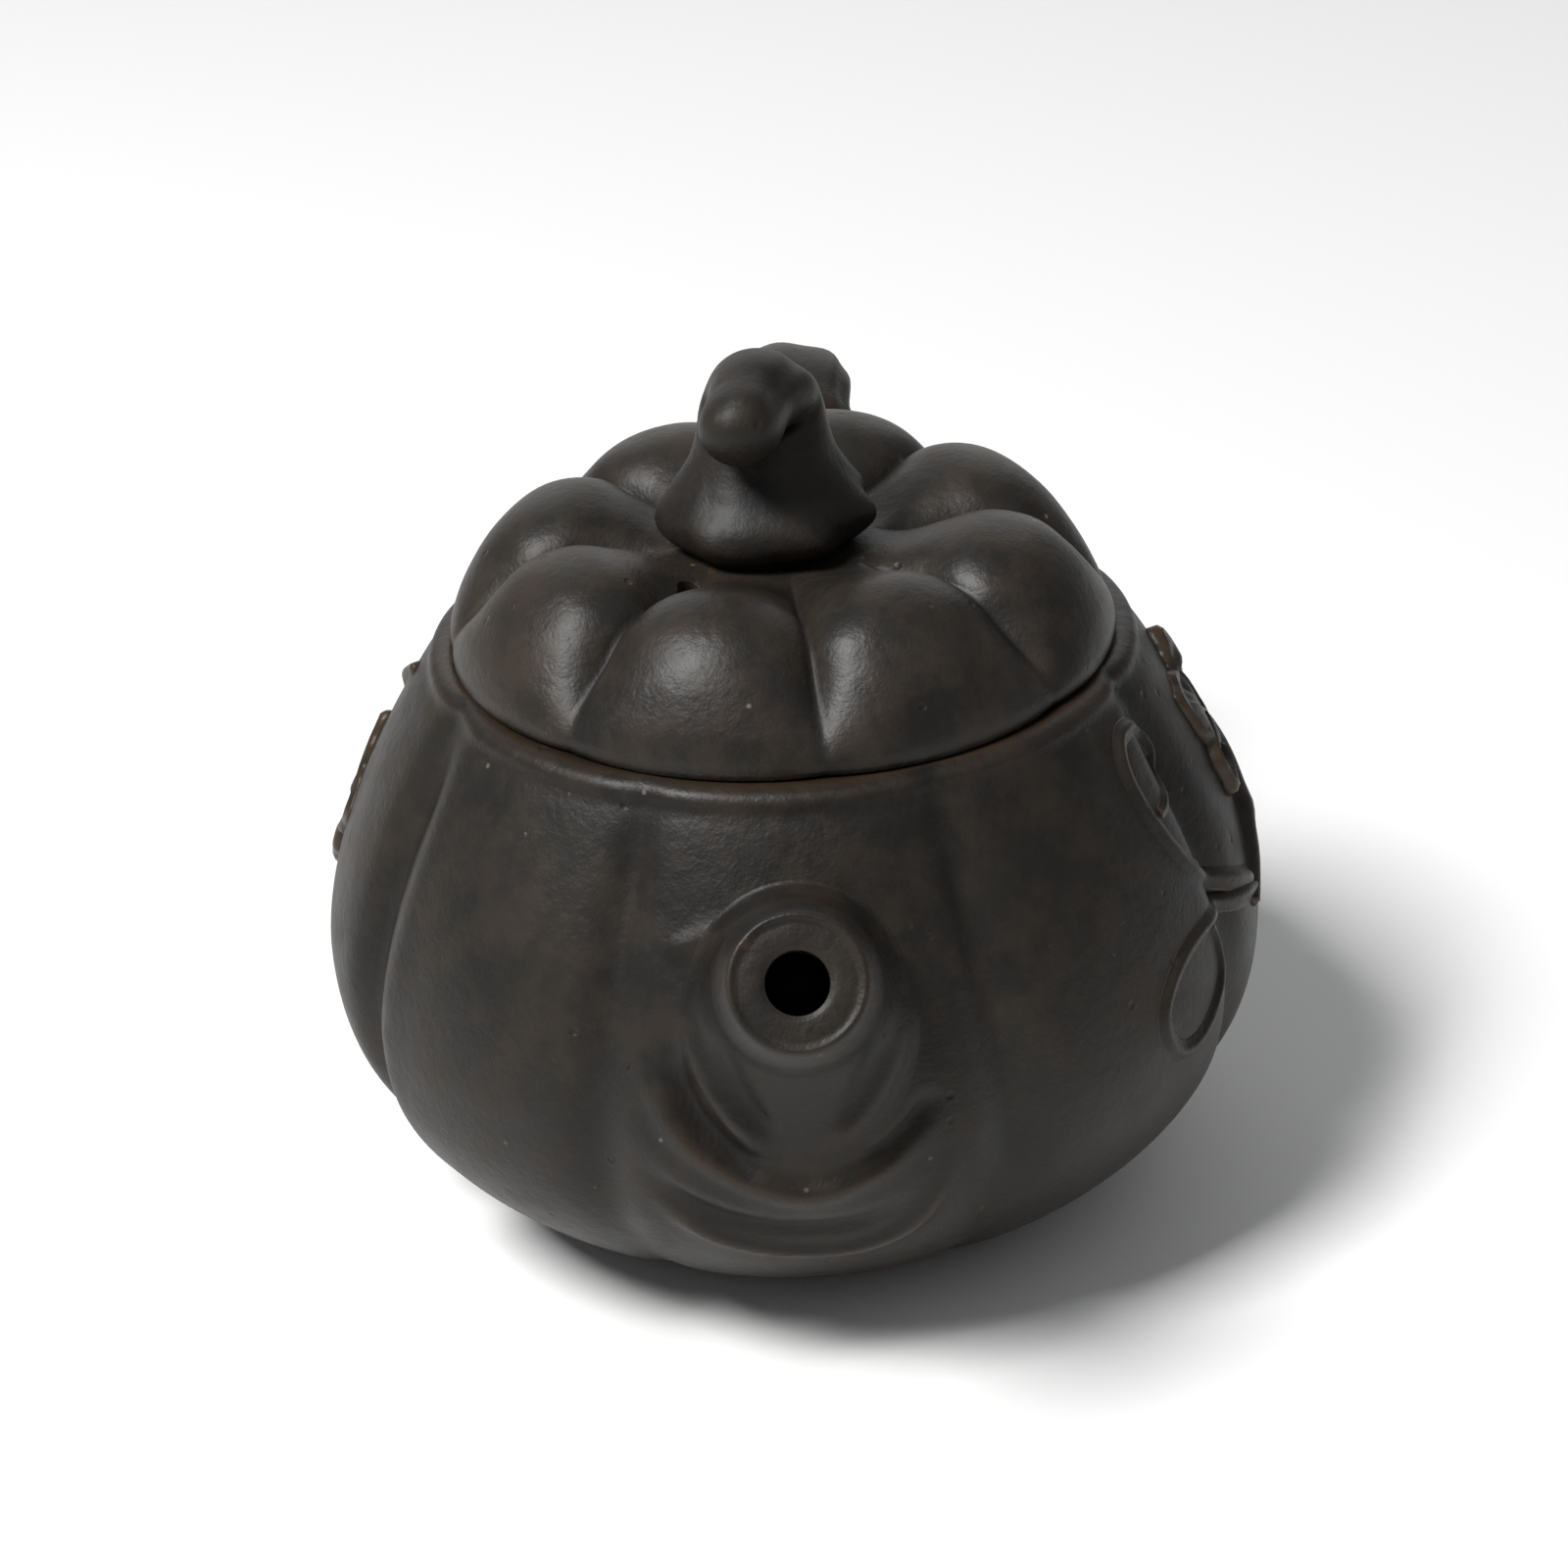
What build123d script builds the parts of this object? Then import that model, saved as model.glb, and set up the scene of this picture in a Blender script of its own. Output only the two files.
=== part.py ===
"""Pumpkin-shaped clay teapot: a ribbed pot with a folded spout and a branch handle, and a lid with a stalk knob.

The pot is press-moulded in two halves and luted together with its other members before firing.
Frame: millimetres, +Z up, origin at the centre of the foot. The spout points to -Y and the handle to +Y.
"""

import os
from math import cos, pi, radians, sin

from build123d import *

# Driving dimensions of the pot
belly_radius = 55.0  # along the crest of a rib, at the widest height
belly_height = 32.0
rim_radius = 39.4
rim_height = 68.0
foot_flare_radius = 31.5  # where the ribs run out at the table
belly_fullness = 2.35  # a larger power makes the lower wall rounder
shoulder_fullness = 1.62
rib_count = 8
groove_depth = 2.0
rim_groove_depth = 0.3
wall = 2.8
wall_sections = 9

# Foot and floor
foot_height = 2.0
foot_ring_width = 4.0
foot_edge = 0.6
foot_ring_inset = 1.0
floor_inset = 3.0
floor_thickness = 3.0

# Mouth and lid seat
mouth_ring_width = 5.0  # from the rim's outer edge to the bore
mouth_ring_height = 8.0
mouth_edge = 0.4
flange_clearance = 0.35
seat_gap = 0.1

# Lid
lid_inset = 1.2  # the rim shows this much around the lid
lid_height = 15.2
# shares of the way from the knob's seat to the edge, and of the lid's height
lid_outline = [(0.25, 0.89), (0.46, 1.0), (0.67, 0.91), (0.83, 0.67), (0.94, 0.39), (0.99, 0.18)]
lid_groove_depth = 3.4
lid_groove_angle = 6.0  # degrees from the spout to the nearest groove
lid_wall = 3.0
flange_wall = 2.6
flange_depth = 7.0
knob_seat_radius = 12.4
knob_seat_height = 11.4
vent_radius = 1.15
vent_step = 3.3  # from the knob's seat out to the vent

# Knob: a stalk that rises from a spread foot, leans back and curls over towards the spout
knob_foot_radius = 11.0
knob_foot_height = 6.0
knob_toe_radius = 2.2
knob_toe_count = 9
knob_neck_radius = 8.2
knob_line = [  # x, y and height of the stalk's centre above its seat, with its radius there
    (-1.3, 0.7, 0.0, 8.6),
    (-0.9, 1.4, 8.0, 7.1),
    (-0.8, 1.0, 17.2, 6.3),
    (-1.6, -3.9, 18.4, 5.6),
    (-2.4, -8.0, 18.2, 5.0),
]

# Spout
spout_reach = 11.0  # how far the tip stands out past the belly
spout_tip_height = 0.887  # share of the rim's height
spout_rise = 33.0  # degrees above level
spout_tip_radius = 6.8
spout_bore_radius = 3.3
spout_bore_length = 12.0
spout_lip = 0.9
# radius, and how far behind the tip as a share of the spout's length
spout_flare = [(8.1, 0.26), (8.6, 0.46), (9.2, 0.67), (10.4, 0.85), (12.4, 1.03), (15.0, 1.18)]
spout_overrun = 14.5  # how far its blank runs on into the pot before it is trimmed
throat_radius = 6.4
strainer_radius = 8.0
strainer_wall = 1.6
strainer_sink = 2.3
strainer_rim = 3.7
strainer_dome = 5.0
strainer_hole_radius = 0.75
strainer_rings = [(2.7, 6), (5.1, 12)]  # distance from the middle, number of holes

# Handle: reach as a share of the belly's radius, height as a share of the rim's, half width, half thickness
handle_line = [
    (0.73, 0.84, 6.6, 5.4),
    (0.92, 0.97, 7.2, 4.8),
    (1.14, 1.04, 7.6, 4.6),
    (1.34, 0.96, 7.2, 4.5),
    (1.43, 0.77, 6.4, 4.4),
    (1.36, 0.56, 5.8, 4.3),
    (1.17, 0.41, 5.6, 4.6),
    (0.87, 0.32, 5.8, 5.4),
]

# Applied decoration: clay pressed on the wall, placed by degrees from the spout and share of the rim's height
leaf_thickness = 1.3
leaf_length = 21.0
leaf_width = 16.0
fold_radius = 1.7
hem_radius = 1.4
vine_radius = 1.7
tendril_radius = 0.95
fold_lines = {
    "spout_fold_upper": [
        (-16.5, 0.75), (-14.5, 0.64), (-9.0, 0.53), (0.0, 0.473), (7.5, 0.53), (12.5, 0.64), (14.5, 0.72),
    ],
    "spout_fold_middle": [
        (-21.0, 0.65), (-16.0, 0.51), (-8.0, 0.426), (1.0, 0.391), (9.5, 0.43), (15.5, 0.52), (18.5, 0.6),
    ],
    "spout_hem": [
        (-19.0, 0.4), (-12.5, 0.306), (-2.4, 0.253), (7.9, 0.265), (13.7, 0.324), (16.5, 0.4),
    ],
}
vine_lines = {
    "vine_right": [(80.0, 0.54), (84.0, 0.63), (96.0, 0.7), (115.0, 0.72), (136.0, 0.77), (158.0, 0.82)],
    "vine_left": [(-86.0, 0.94), (-95.0, 0.88), (-110.0, 0.82), (-132.0, 0.79), (-158.0, 0.82)],
}
tendril_lines = {
    "tendril_right_upper": [
        (79.0, 0.56), (71.0, 0.625), (65.0, 0.66), (60.0, 0.72), (56.5, 0.8), (56.6, 0.89),
        (60.5, 0.935), (65.5, 0.92), (68.6, 0.87), (66.5, 0.82), (62.5, 0.816),
    ],
    "tendril_right_lower": [
        (78.5, 0.526), (70.0, 0.568), (60.5, 0.61), (53.0, 0.6), (47.8, 0.54),
        (48.8, 0.465), (53.5, 0.437), (59.0, 0.47), (61.5, 0.54),
    ],
    "tendril_left": [
        (-111.0, 0.81), (-111.5, 0.7), (-107.5, 0.63), (-103.5, 0.566),
        (-103.5, 0.48), (-108.5, 0.45), (-113.5, 0.49), (-112.0, 0.55),
    ],
}
leaf_places = {  # degrees from the spout, share of the rim's height, and how far the tip leans from upright
    "leaf_right": (86.0, 0.84, -125.0),
    "leaf_left": (-92.0, 0.72, 140.0),
}

# Sizes that follow from the ones above
foot_ring_radius = foot_flare_radius - foot_ring_inset
floor_radius = foot_flare_radius - floor_inset
mouth_bore_radius = rim_radius - mouth_ring_width
lid_radius = rim_radius - lid_inset
vent_distance = knob_seat_radius + vent_step
spout_tip = (0.0, -belly_radius - spout_reach, spout_tip_height * rim_height)


def crest_radius(z):
    """Outside radius of the pot along the crest of a rib at height z."""
    if z < belly_height:
        rise = 1 - (1 - z / belly_height) ** belly_fullness
        return foot_flare_radius + (belly_radius - foot_flare_radius) * rise
    climb = (z - belly_height) / (rim_height - belly_height)
    return belly_radius - (belly_radius - rim_radius) * climb**shoulder_fullness


def groove_radius(z):
    """Outside radius of the pot along the bottom of a groove at height z."""
    share = 1 - abs(2 * z / rim_height - 1) ** 3
    return crest_radius(z) - rim_groove_depth - (groove_depth - rim_groove_depth) * share


def polar(radius, angle):
    """A point at this radius; the angle is in degrees from the spout, towards +X."""
    return (radius * sin(radians(angle)), -radius * cos(radians(angle)))


def heights(low, high, count):
    return [low + (high - low) * i / (count - 1) for i in range(count)]


def pot_blank(grow=0.0):
    """The pot's ribbed outside as one solid block, grown outwards by grow."""
    half_rib = 180 / rib_count
    with BuildPart() as blank:
        for z in heights(foot_height, rim_height, wall_sections):
            with BuildSketch(Plane.XY.offset(z)):
                with BuildLine():
                    for rib in range(rib_count):
                        crest = 2 * half_rib * rib
                        ThreePointArc(
                            polar(groove_radius(z) + grow, crest - half_rib),
                            polar(crest_radius(z) + grow, crest),
                            polar(groove_radius(z) + grow, crest + half_rib),
                        )
                make_face()
        loft()
    return blank.part


def inside_radius(z):
    return groove_radius(z) - wall


def pot_cavity():
    """The hollow of the pot: the floor's round recess below, then the round inside up to the rim."""
    floor_top = foot_height + floor_thickness
    with BuildPart() as cavity:
        with BuildSketch(Plane.XZ):
            with BuildLine():
                rows = heights(floor_top, rim_height, wall_sections)
                inner = Spline([(inside_radius(z), z) for z in rows])
                Polyline(
                    inner @ 1,
                    (0, rim_height),
                    (0, foot_height),
                    (floor_radius, foot_height),
                    (floor_radius, floor_top),
                    inner @ 0,
                )
            make_face()
        revolve(axis=Axis.Z)
    return cavity.part


def spout_to_wall():
    """Length of the spout's axis from the tip back to the outside of the pot."""
    length = 0.0
    reach, height = belly_radius + spout_reach, spout_tip[2]
    while reach > crest_radius(height):
        length += 0.1
        reach -= 0.1 * cos(radians(spout_rise))
        height -= 0.1 * sin(radians(spout_rise))
    return length


spout_length = spout_to_wall()
spout_root = spout_length + spout_overrun
throat_start = spout_length + 0.4
strainer_rim_start = spout_length + strainer_sink
strainer_rim_end = strainer_rim_start + strainer_rim

# The spout's axis runs from inside the pot out through the tip
spout_axis = Axis(spout_tip, (0, -cos(radians(spout_rise)), sin(radians(spout_rise))))
spout_side_way = (0, -sin(radians(spout_rise)), -cos(radians(spout_rise)))
spout_plane = Plane(spout_tip, x_dir=(1, 0, 0), z_dir=spout_side_way)
spout_face_plane = Plane(spout_tip, x_dir=(1, 0, 0), z_dir=spout_axis.direction)


def spout_blank():
    """The spout's outside as one solid block, running on into the pot."""
    with BuildPart() as body:
        with BuildSketch(spout_plane):
            with BuildLine():
                flare = [(radius, -back * spout_length) for radius, back in spout_flare]
                side = Spline([(spout_tip_radius, 0)] + flare, tangents=[(0, -1), (1, -0.7)])
                root_radius = side.position_at(1).X
                Polyline(side @ 1, (root_radius, -spout_root), (0, -spout_root), (0, 0), side @ 0)
            make_face()
        revolve(axis=spout_axis)
    return body.part


blank = pot_blank()
grown_blank = pot_blank(leaf_thickness)
cavity = pot_cavity()
spout_body = spout_blank()


def pot_half(keep):
    """One press-moulded half of the wall, cut on the plane through the spout and the handle."""
    with BuildPart() as half:
        add(blank)
        add(cavity, mode=Mode.SUBTRACT)
        with BuildSketch(spout_face_plane.offset(-throat_start + strainer_wall)):
            Circle(strainer_radius)
        extrude(amount=-spout_root + throat_start, mode=Mode.SUBTRACT)
        split(bisect_by=Plane.YZ, keep=keep)
    return half.part


body_right_half = pot_half(Keep.TOP)
body_left_half = pot_half(Keep.BOTTOM)

with BuildPart() as base_disc:
    with BuildSketch(Plane.XY.offset(foot_height)):
        Circle(floor_radius)
    extrude(amount=floor_thickness)

with BuildPart() as foot_ring:
    with BuildSketch():
        Circle(foot_ring_radius)
        Circle(foot_ring_radius - foot_ring_width, mode=Mode.SUBTRACT)
    extrude(amount=foot_height)
    fillet(foot_ring.faces().sort_by(Axis.Z)[0].edges(), radius=foot_edge)

with BuildPart() as mouth_ring:
    add(cavity)
    with BuildSketch(Plane.XY.offset(rim_height - mouth_ring_height)):
        Circle(belly_radius)
    extrude(amount=mouth_ring_height, mode=Mode.INTERSECT)
    with BuildSketch(Plane.XY.offset(rim_height)):
        Circle(mouth_bore_radius)
    extrude(amount=-mouth_ring_height, mode=Mode.SUBTRACT)
    top_edges = mouth_ring.edges().filter_by(GeomType.CIRCLE).sort_by(Axis.Z)[-2:]
    chamfer(top_edges.sort_by(SortBy.RADIUS)[0], mouth_edge)

with BuildPart() as spout:
    add(spout_body)
    fillet(spout.faces().filter_by(GeomType.PLANE).sort_by(spout_axis)[-1].edges(), radius=spout_lip)
    add(blank, mode=Mode.SUBTRACT)
    with BuildSketch(spout_face_plane):
        Circle(spout_bore_radius)
    extrude(amount=-spout_bore_length, mode=Mode.SUBTRACT)
    with BuildSketch(spout_face_plane.offset(-spout_bore_length)):
        Circle(spout_bore_radius)
    with BuildSketch(spout_face_plane.offset(-throat_start)):
        Circle(throat_radius)
    loft(mode=Mode.SUBTRACT)
    with BuildSketch(spout_face_plane.offset(-throat_start)):
        Circle(throat_radius)
    extrude(amount=-spout_root + throat_start, mode=Mode.SUBTRACT)

with BuildPart() as strainer:
    with BuildSketch(spout_plane):
        with BuildLine():
            Polyline(
                (0, -strainer_rim_end - strainer_dome + strainer_wall),
                (0, -strainer_rim_end - strainer_dome),
            )
            outside = EllipticalCenterArc(
                (0, -strainer_rim_end), strainer_radius, strainer_dome, 270, arc_size=90
            )
            Polyline(
                outside @ 1,
                (strainer_radius, -strainer_rim_start),
                (strainer_radius - strainer_wall, -strainer_rim_start),
                (strainer_radius - strainer_wall, -strainer_rim_end),
            )
            EllipticalCenterArc(
                (0, -strainer_rim_end),
                strainer_radius - strainer_wall,
                strainer_dome - strainer_wall,
                270,
                arc_size=90,
            )
        make_face()
    revolve(axis=spout_axis)
    with BuildSketch(spout_face_plane.offset(-strainer_rim_end - strainer_dome)):
        Circle(strainer_hole_radius)
        for ring_radius, holes in strainer_rings:
            with PolarLocations(ring_radius, holes):
                Circle(strainer_hole_radius)
    extrude(amount=strainer_dome, mode=Mode.SUBTRACT)

with BuildPart() as handle:
    with BuildLine() as handle_path:
        Spline([(0, y * belly_radius, z * rim_height) for y, z, _, _ in handle_line])
    stations = len(handle_line) * 2 - 1
    for i in range(stations):
        share = i / (stations - 1)
        place = share * (len(handle_line) - 1)
        k = min(int(place), len(handle_line) - 2)
        mix = place - k
        half_width = handle_line[k][2] * (1 - mix) + handle_line[k + 1][2] * mix
        half_thickness = handle_line[k][3] * (1 - mix) + handle_line[k + 1][3] * mix
        line = handle_path.line
        with BuildSketch(Plane(line @ share, x_dir=(1, 0, 0), z_dir=line % share)):
            Ellipse(half_width, half_thickness)
    loft()
    add(blank, mode=Mode.SUBTRACT)


lid_seat = rim_height + seat_gap
flange_radius = mouth_bore_radius - flange_clearance
lid_hollow_radius = flange_radius - flange_wall

with BuildPart() as lid_flange:
    with BuildSketch(Plane.XY.offset(lid_seat)):
        Circle(flange_radius)
        Circle(lid_hollow_radius, mode=Mode.SUBTRACT)
    extrude(amount=-flange_depth)
    chamfer(lid_flange.edges().sort_by(Axis.Z)[:2].sort_by(SortBy.RADIUS)[1], mouth_edge)


def lid_section(depth):
    """Points along the top of the lid from the knob's seat to the edge, sunk by depth between the ribs."""
    points = []
    for across, up in lid_outline:
        sunk = depth * sin(pi * across**0.7)
        inset = 0.35 * depth * across * up
        reach = knob_seat_radius + (lid_radius - knob_seat_radius) * across - inset
        points.append((reach, lid_seat + lid_height * up - max(sunk, 0)))
    return [(knob_seat_radius, lid_seat + knob_seat_height)] + points


with BuildPart() as lid_rib:
    for turn, depth in ((-180 / rib_count, lid_groove_depth), (0, 0), (180 / rib_count, lid_groove_depth)):
        with BuildSketch(Plane.XZ.rotated((0, 0, turn))):
            with BuildLine():
                top = Spline(lid_section(depth))
                Polyline(top @ 1, (lid_radius, lid_seat), (knob_seat_radius, lid_seat), top @ 0)
            make_face()
    loft()

with BuildPart() as lid_dome:
    with PolarLocations(0, rib_count, start_angle=lid_groove_angle - 90 + 180 / rib_count):
        add(lid_rib.part)
    with BuildSketch(Plane.XY.offset(lid_seat)):
        Circle(knob_seat_radius + 1)
    extrude(amount=knob_seat_height)
    with BuildSketch(Plane.XZ):
        with BuildLine():
            ceiling = lid_seat + knob_seat_height - lid_wall - 0.9
            Polyline((0, ceiling), (0, lid_seat), (lid_hollow_radius, lid_seat))
            Spline(
                (lid_hollow_radius, lid_seat),
                (lid_hollow_radius - 4, lid_seat + 0.72 * (ceiling - lid_seat)),
                (0, ceiling),
                tangents=[(0, 1), (-1, 0)],
            )
        make_face()
    revolve(axis=Axis.Z, mode=Mode.SUBTRACT)
    vent_turn = lid_groove_angle - 360 / rib_count
    with BuildSketch(Plane.XY.offset(lid_seat)):
        with Locations(polar(vent_distance, vent_turn)):
            Circle(vent_radius)
    extrude(amount=2 * lid_height, mode=Mode.SUBTRACT)

knob_seat = lid_seat + knob_seat_height
with BuildPart() as knob:
    for (x, y, h, radius), (next_x, next_y, next_h, next_radius) in zip(knob_line, knob_line[1:]):
        lean = (next_x - x, next_y - y, next_h - h)
        with BuildSketch(Plane((x, y, knob_seat + h), z_dir=lean)):
            Circle(radius)
        with BuildSketch(Plane((next_x, next_y, knob_seat + next_h), z_dir=lean)):
            Circle(next_radius)
        loft()
        with Locations((next_x, next_y, knob_seat + next_h)):
            Sphere(next_radius)
    foot_x, foot_y = knob_line[0][0], knob_line[0][1]
    with BuildSketch(Plane((foot_x, foot_y, knob_seat), x_dir=(1, 0, 0), z_dir=(0, -1, 0))):
        with BuildLine():
            Polyline(
                (knob_neck_radius - 1.6, knob_foot_height),
                (0, knob_foot_height),
                (0, 0),
                (knob_foot_radius, 0),
            )
            Spline(
                (knob_foot_radius, 0),
                (knob_neck_radius + 0.6, 0.45 * knob_foot_height),
                (knob_neck_radius - 1.6, knob_foot_height),
            )
        make_face()
    revolve(axis=Axis((foot_x, foot_y, 0), (0, 0, 1)))
    with Locations((foot_x, foot_y, knob_seat + knob_toe_radius / 2)):
        with PolarLocations(knob_foot_radius - knob_toe_radius / 2, knob_toe_count):
            Sphere(knob_toe_radius)
    split(bisect_by=Plane.XY.offset(knob_seat), keep=Keep.TOP)
    add(lid_dome.part, mode=Mode.SUBTRACT)


def wall_point(angle, z, sink=0.0):
    """A point on the ribbed wall, sunk into it by sink."""
    pitch = 360 / rib_count
    off_crest = abs((angle + pitch / 2) % pitch - pitch / 2) / (pitch / 2)
    radius = crest_radius(z) + (groove_radius(z) - crest_radius(z)) * off_crest**2
    x, y = polar(radius - sink, angle)
    return (x, y, z)


def clay_roll(line, radius, beside=()):
    """A round-ended roll of clay laid along a line on the wall, pressed on to it and against what lies beside."""
    with BuildPart() as roll:
        with BuildLine() as path:
            Spline([wall_point(angle, share * rim_height, radius / 4) for angle, share in line])
        with BuildSketch(Plane(path.line @ 0, z_dir=path.line % 0)):
            Circle(radius)
        sweep(path=path.line)
        with Locations(path.line @ 0, path.line @ 1):
            Sphere(radius)
        for under in (blank, spout_body, *beside):
            add(under, mode=Mode.SUBTRACT)
    return roll.part


def clay_leaf(angle, share, lean):
    """A flat pointed leaf pressed on to the wall, following its curve."""
    x, y = polar(1, angle)
    z = share * rim_height
    with BuildPart() as leaf:
        side_way = (-y * cos(radians(lean)), x * cos(radians(lean)), sin(radians(lean)))
        with BuildSketch(Plane((0, 0, z), x_dir=side_way, z_dir=(x, y, 0))):
            with BuildLine():
                for side in (-1, 1):
                    Spline(
                        (0, -leaf_length / 2),
                        (side * leaf_width * 0.4, -leaf_length * 0.32),
                        (side * leaf_width / 2, -leaf_length * 0.08),
                        (side * leaf_width * 0.27, leaf_length * 0.22),
                        (0, leaf_length / 2),
                    )
            make_face()
        extrude(amount=2 * belly_radius, dir=(x, y, 0))
        add(grown_blank, mode=Mode.INTERSECT)
        add(blank, mode=Mode.SUBTRACT)
    return leaf.part


decoration = {}
for name, line in fold_lines.items():
    decoration[name] = clay_roll(line, hem_radius if name == "spout_hem" else fold_radius)
for side in ("right", "left"):
    leaf = clay_leaf(*leaf_places[f"leaf_{side}"])
    vine = clay_roll(vine_lines[f"vine_{side}"], vine_radius, [handle.part, leaf])
    decoration[f"leaf_{side}"] = leaf
    decoration[f"vine_{side}"] = vine
    for name, line in tendril_lines.items():
        if name.startswith(f"tendril_{side}"):
            decoration[name] = clay_roll(line, tendril_radius, [vine, leaf])

pieces = {
    "body_left_half": body_left_half,
    "body_right_half": body_right_half,
    "base_disc": base_disc.part,
    "foot_ring": foot_ring.part,
    "mouth_ring": mouth_ring.part,
    "spout": spout.part,
    "strainer": strainer.part,
    "handle": handle.part,
    "lid_flange": lid_flange.part,
    "lid_dome": lid_dome.part,
    "knob": knob.part,
} | decoration

os.makedirs("parts", exist_ok=True)
for name, piece in pieces.items():
    piece.label = name
    export_step(piece, f"parts/{name}.step")
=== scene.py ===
"""Ribbed clay teapot with a folded spout, a branch handle and a stalk knob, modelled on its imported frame."""

from math import atan2, cos, degrees, exp, hypot, pi, radians, sin, sqrt

import bmesh
import bpy
from bpy.props import FloatProperty, FloatVectorProperty, IntProperty, PointerProperty
from mathutils import Matrix, Vector


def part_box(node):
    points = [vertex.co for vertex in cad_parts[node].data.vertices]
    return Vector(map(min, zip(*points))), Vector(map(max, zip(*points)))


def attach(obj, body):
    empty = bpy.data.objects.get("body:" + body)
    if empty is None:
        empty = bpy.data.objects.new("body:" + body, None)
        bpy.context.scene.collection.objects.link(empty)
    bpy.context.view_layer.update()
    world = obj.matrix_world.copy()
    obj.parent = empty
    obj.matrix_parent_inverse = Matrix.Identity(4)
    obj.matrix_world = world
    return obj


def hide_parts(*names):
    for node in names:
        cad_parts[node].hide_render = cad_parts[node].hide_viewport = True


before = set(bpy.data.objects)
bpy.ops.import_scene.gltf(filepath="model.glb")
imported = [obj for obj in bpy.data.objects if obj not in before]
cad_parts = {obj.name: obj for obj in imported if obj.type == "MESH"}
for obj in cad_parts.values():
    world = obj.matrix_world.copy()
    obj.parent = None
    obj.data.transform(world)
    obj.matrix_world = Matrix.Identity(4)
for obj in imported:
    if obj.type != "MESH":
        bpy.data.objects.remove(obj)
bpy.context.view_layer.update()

bl_info = {
    "name": "Ribbed Clay Teapot",
    "version": (1, 0, 0),
    "blender": (4, 5, 0),
    "location": "View3D > Sidebar > Teapot",
    "description": "Builds the pot, lid and applied decoration of a ribbed clay teapot",
    "category": "Add Mesh",
}

MM = 0.001
HALF_LOW, HALF_HIGH = (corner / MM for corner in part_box("body_right_half"))

# The pot's outline, in millimetres
FOOT_FLARE = 31.5
BELLY = HALF_HIGH.x
BELLY_HEIGHT = 32.0
RIM = 39.4
RIM_HEIGHT = HALF_HIGH.z
RIM_ROUND = 1.9
BODY_BOTTOM = HALF_LOW.z
UNDERSIDE = 33.0
FLOOR_TOP = 5.0
FLOOR_RADIUS = 28.65
WALL = 2.8
MOUTH_RING_OUTER = 36.3
LID_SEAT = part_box("lid_dome")[0].z / MM
KNOB_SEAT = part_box("knob")[0].z / MM
RIB_PITCH = 45.0
FRONT_GROOVE = 22.5
HANDLE_SIDE = 180.0
SPOUT_TIP = Vector((0.0, -66.0, 60.3))
SPOUT_RISE = radians(33.0)
SPOUT_OUT = Vector((0.0, -cos(SPOUT_RISE), sin(SPOUT_RISE)))
SPOUT_UP = Vector((0.0, sin(SPOUT_RISE), cos(SPOUT_RISE)))


# Sizes and colours a user may change


class TeapotSizes(bpy.types.PropertyGroup):
    """Depths and widths of the ribs and the applied clay, in millimetres"""

    groove_depth: FloatProperty(
        name="Groove depth", description="Depth of the grooves between the pot's ribs, in mm",
        default=1.75, min=0, max=3,
    )
    groove_width: FloatProperty(
        name="Groove width", description="Half width of the grooves between the pot's ribs, in mm",
        default=3.0, min=1, max=8,
    )
    lid_groove_depth: FloatProperty(
        name="Lid groove depth", description="Depth of the grooves between the lid's ribs, in mm",
        default=4.5, min=0, max=6,
    )
    fold_height: FloatProperty(
        name="Fold height", description="Height of the folds under the spout, as a share of the usual one",
        default=1.0, min=0, max=2,
    )
    tendril_radius: FloatProperty(
        name="Tendril radius", description="Radius of the thin rolls of clay that make the tendrils, in mm",
        default=0.6944, min=0.4, max=1.5,
    )
    vine_radius: FloatProperty(
        name="Vine radius", description="Radius of the thicker rolls of clay, in mm",
        default=1.55, min=0.8, max=3,
    )
    lathe_steps: IntProperty(
        name="Steps round the pot", description="Number of faces round the pot and the lid",
        default=448, min=64, max=640,
    )


class TeapotColours(bpy.types.PropertyGroup):
    """Colours of the fired clay, of which the rubbed and the dark colour also paint a highlight on crests and
    shade in hollows
    """

    clay: FloatVectorProperty(
        name="Clay", description="Main colour of the fired clay",
        subtype="COLOR", size=3, min=0, max=1, default=(0.0150, 0.0125, 0.0098),
    )
    # Besides the darker clouds, this colour paints shade into the hollows.
    clay_dark_and_hollow_shade: FloatVectorProperty(
        name="Dark clay", description="Colour of the darker clouds in the clay",
        subtype="COLOR", size=3, min=0, max=1, default=(0.0080, 0.0072, 0.0064),
    )
    # Besides polish wear, this colour paints a highlight on the crests, and it also tints the smears.
    wear_and_painted_light: FloatVectorProperty(
        name="Rubbed clay", description="Colour where hands have polished the clay",
        subtype="COLOR", size=3, min=0, max=1, default=(0.052, 0.033, 0.020),
    )
    speck: FloatVectorProperty(
        name="Specks", description="Colour of the pale sand specks",
        subtype="COLOR", size=3, min=0, max=1, default=(0.15, 0.125, 0.095),
    )
    floor: FloatVectorProperty(
        name="Floor", description="Colour of the floor",
        subtype="COLOR", size=3, min=0, max=1, default=(0.93, 0.93, 0.92),
    )


# Outline of the pot and its relief


def eased(low, high, value):
    """0 below low, 1 above high, with a smooth run between."""
    share = min(max((value - low) / (high - low), 0.0), 1.0)
    return share * share * (3 - 2 * share)


def smooth_line(points, steps):
    """A smooth line through the points, with this many steps between neighbours."""
    line = []
    vectors = [Vector(p) for p in points]
    for k in range(len(vectors) - 1):
        before = vectors[max(k - 1, 0)]
        start, end = vectors[k], vectors[k + 1]
        after = vectors[min(k + 2, len(vectors) - 1)]
        for i in range(steps):
            t = i / steps
            line.append(
                0.5 * (2 * start + (end - before) * t + (2 * before - 5 * start + 4 * end - after) * t**2
                       + (3 * start - before - 3 * end + after) * t**3)
            )
    line.append(vectors[-1])
    return line


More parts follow.
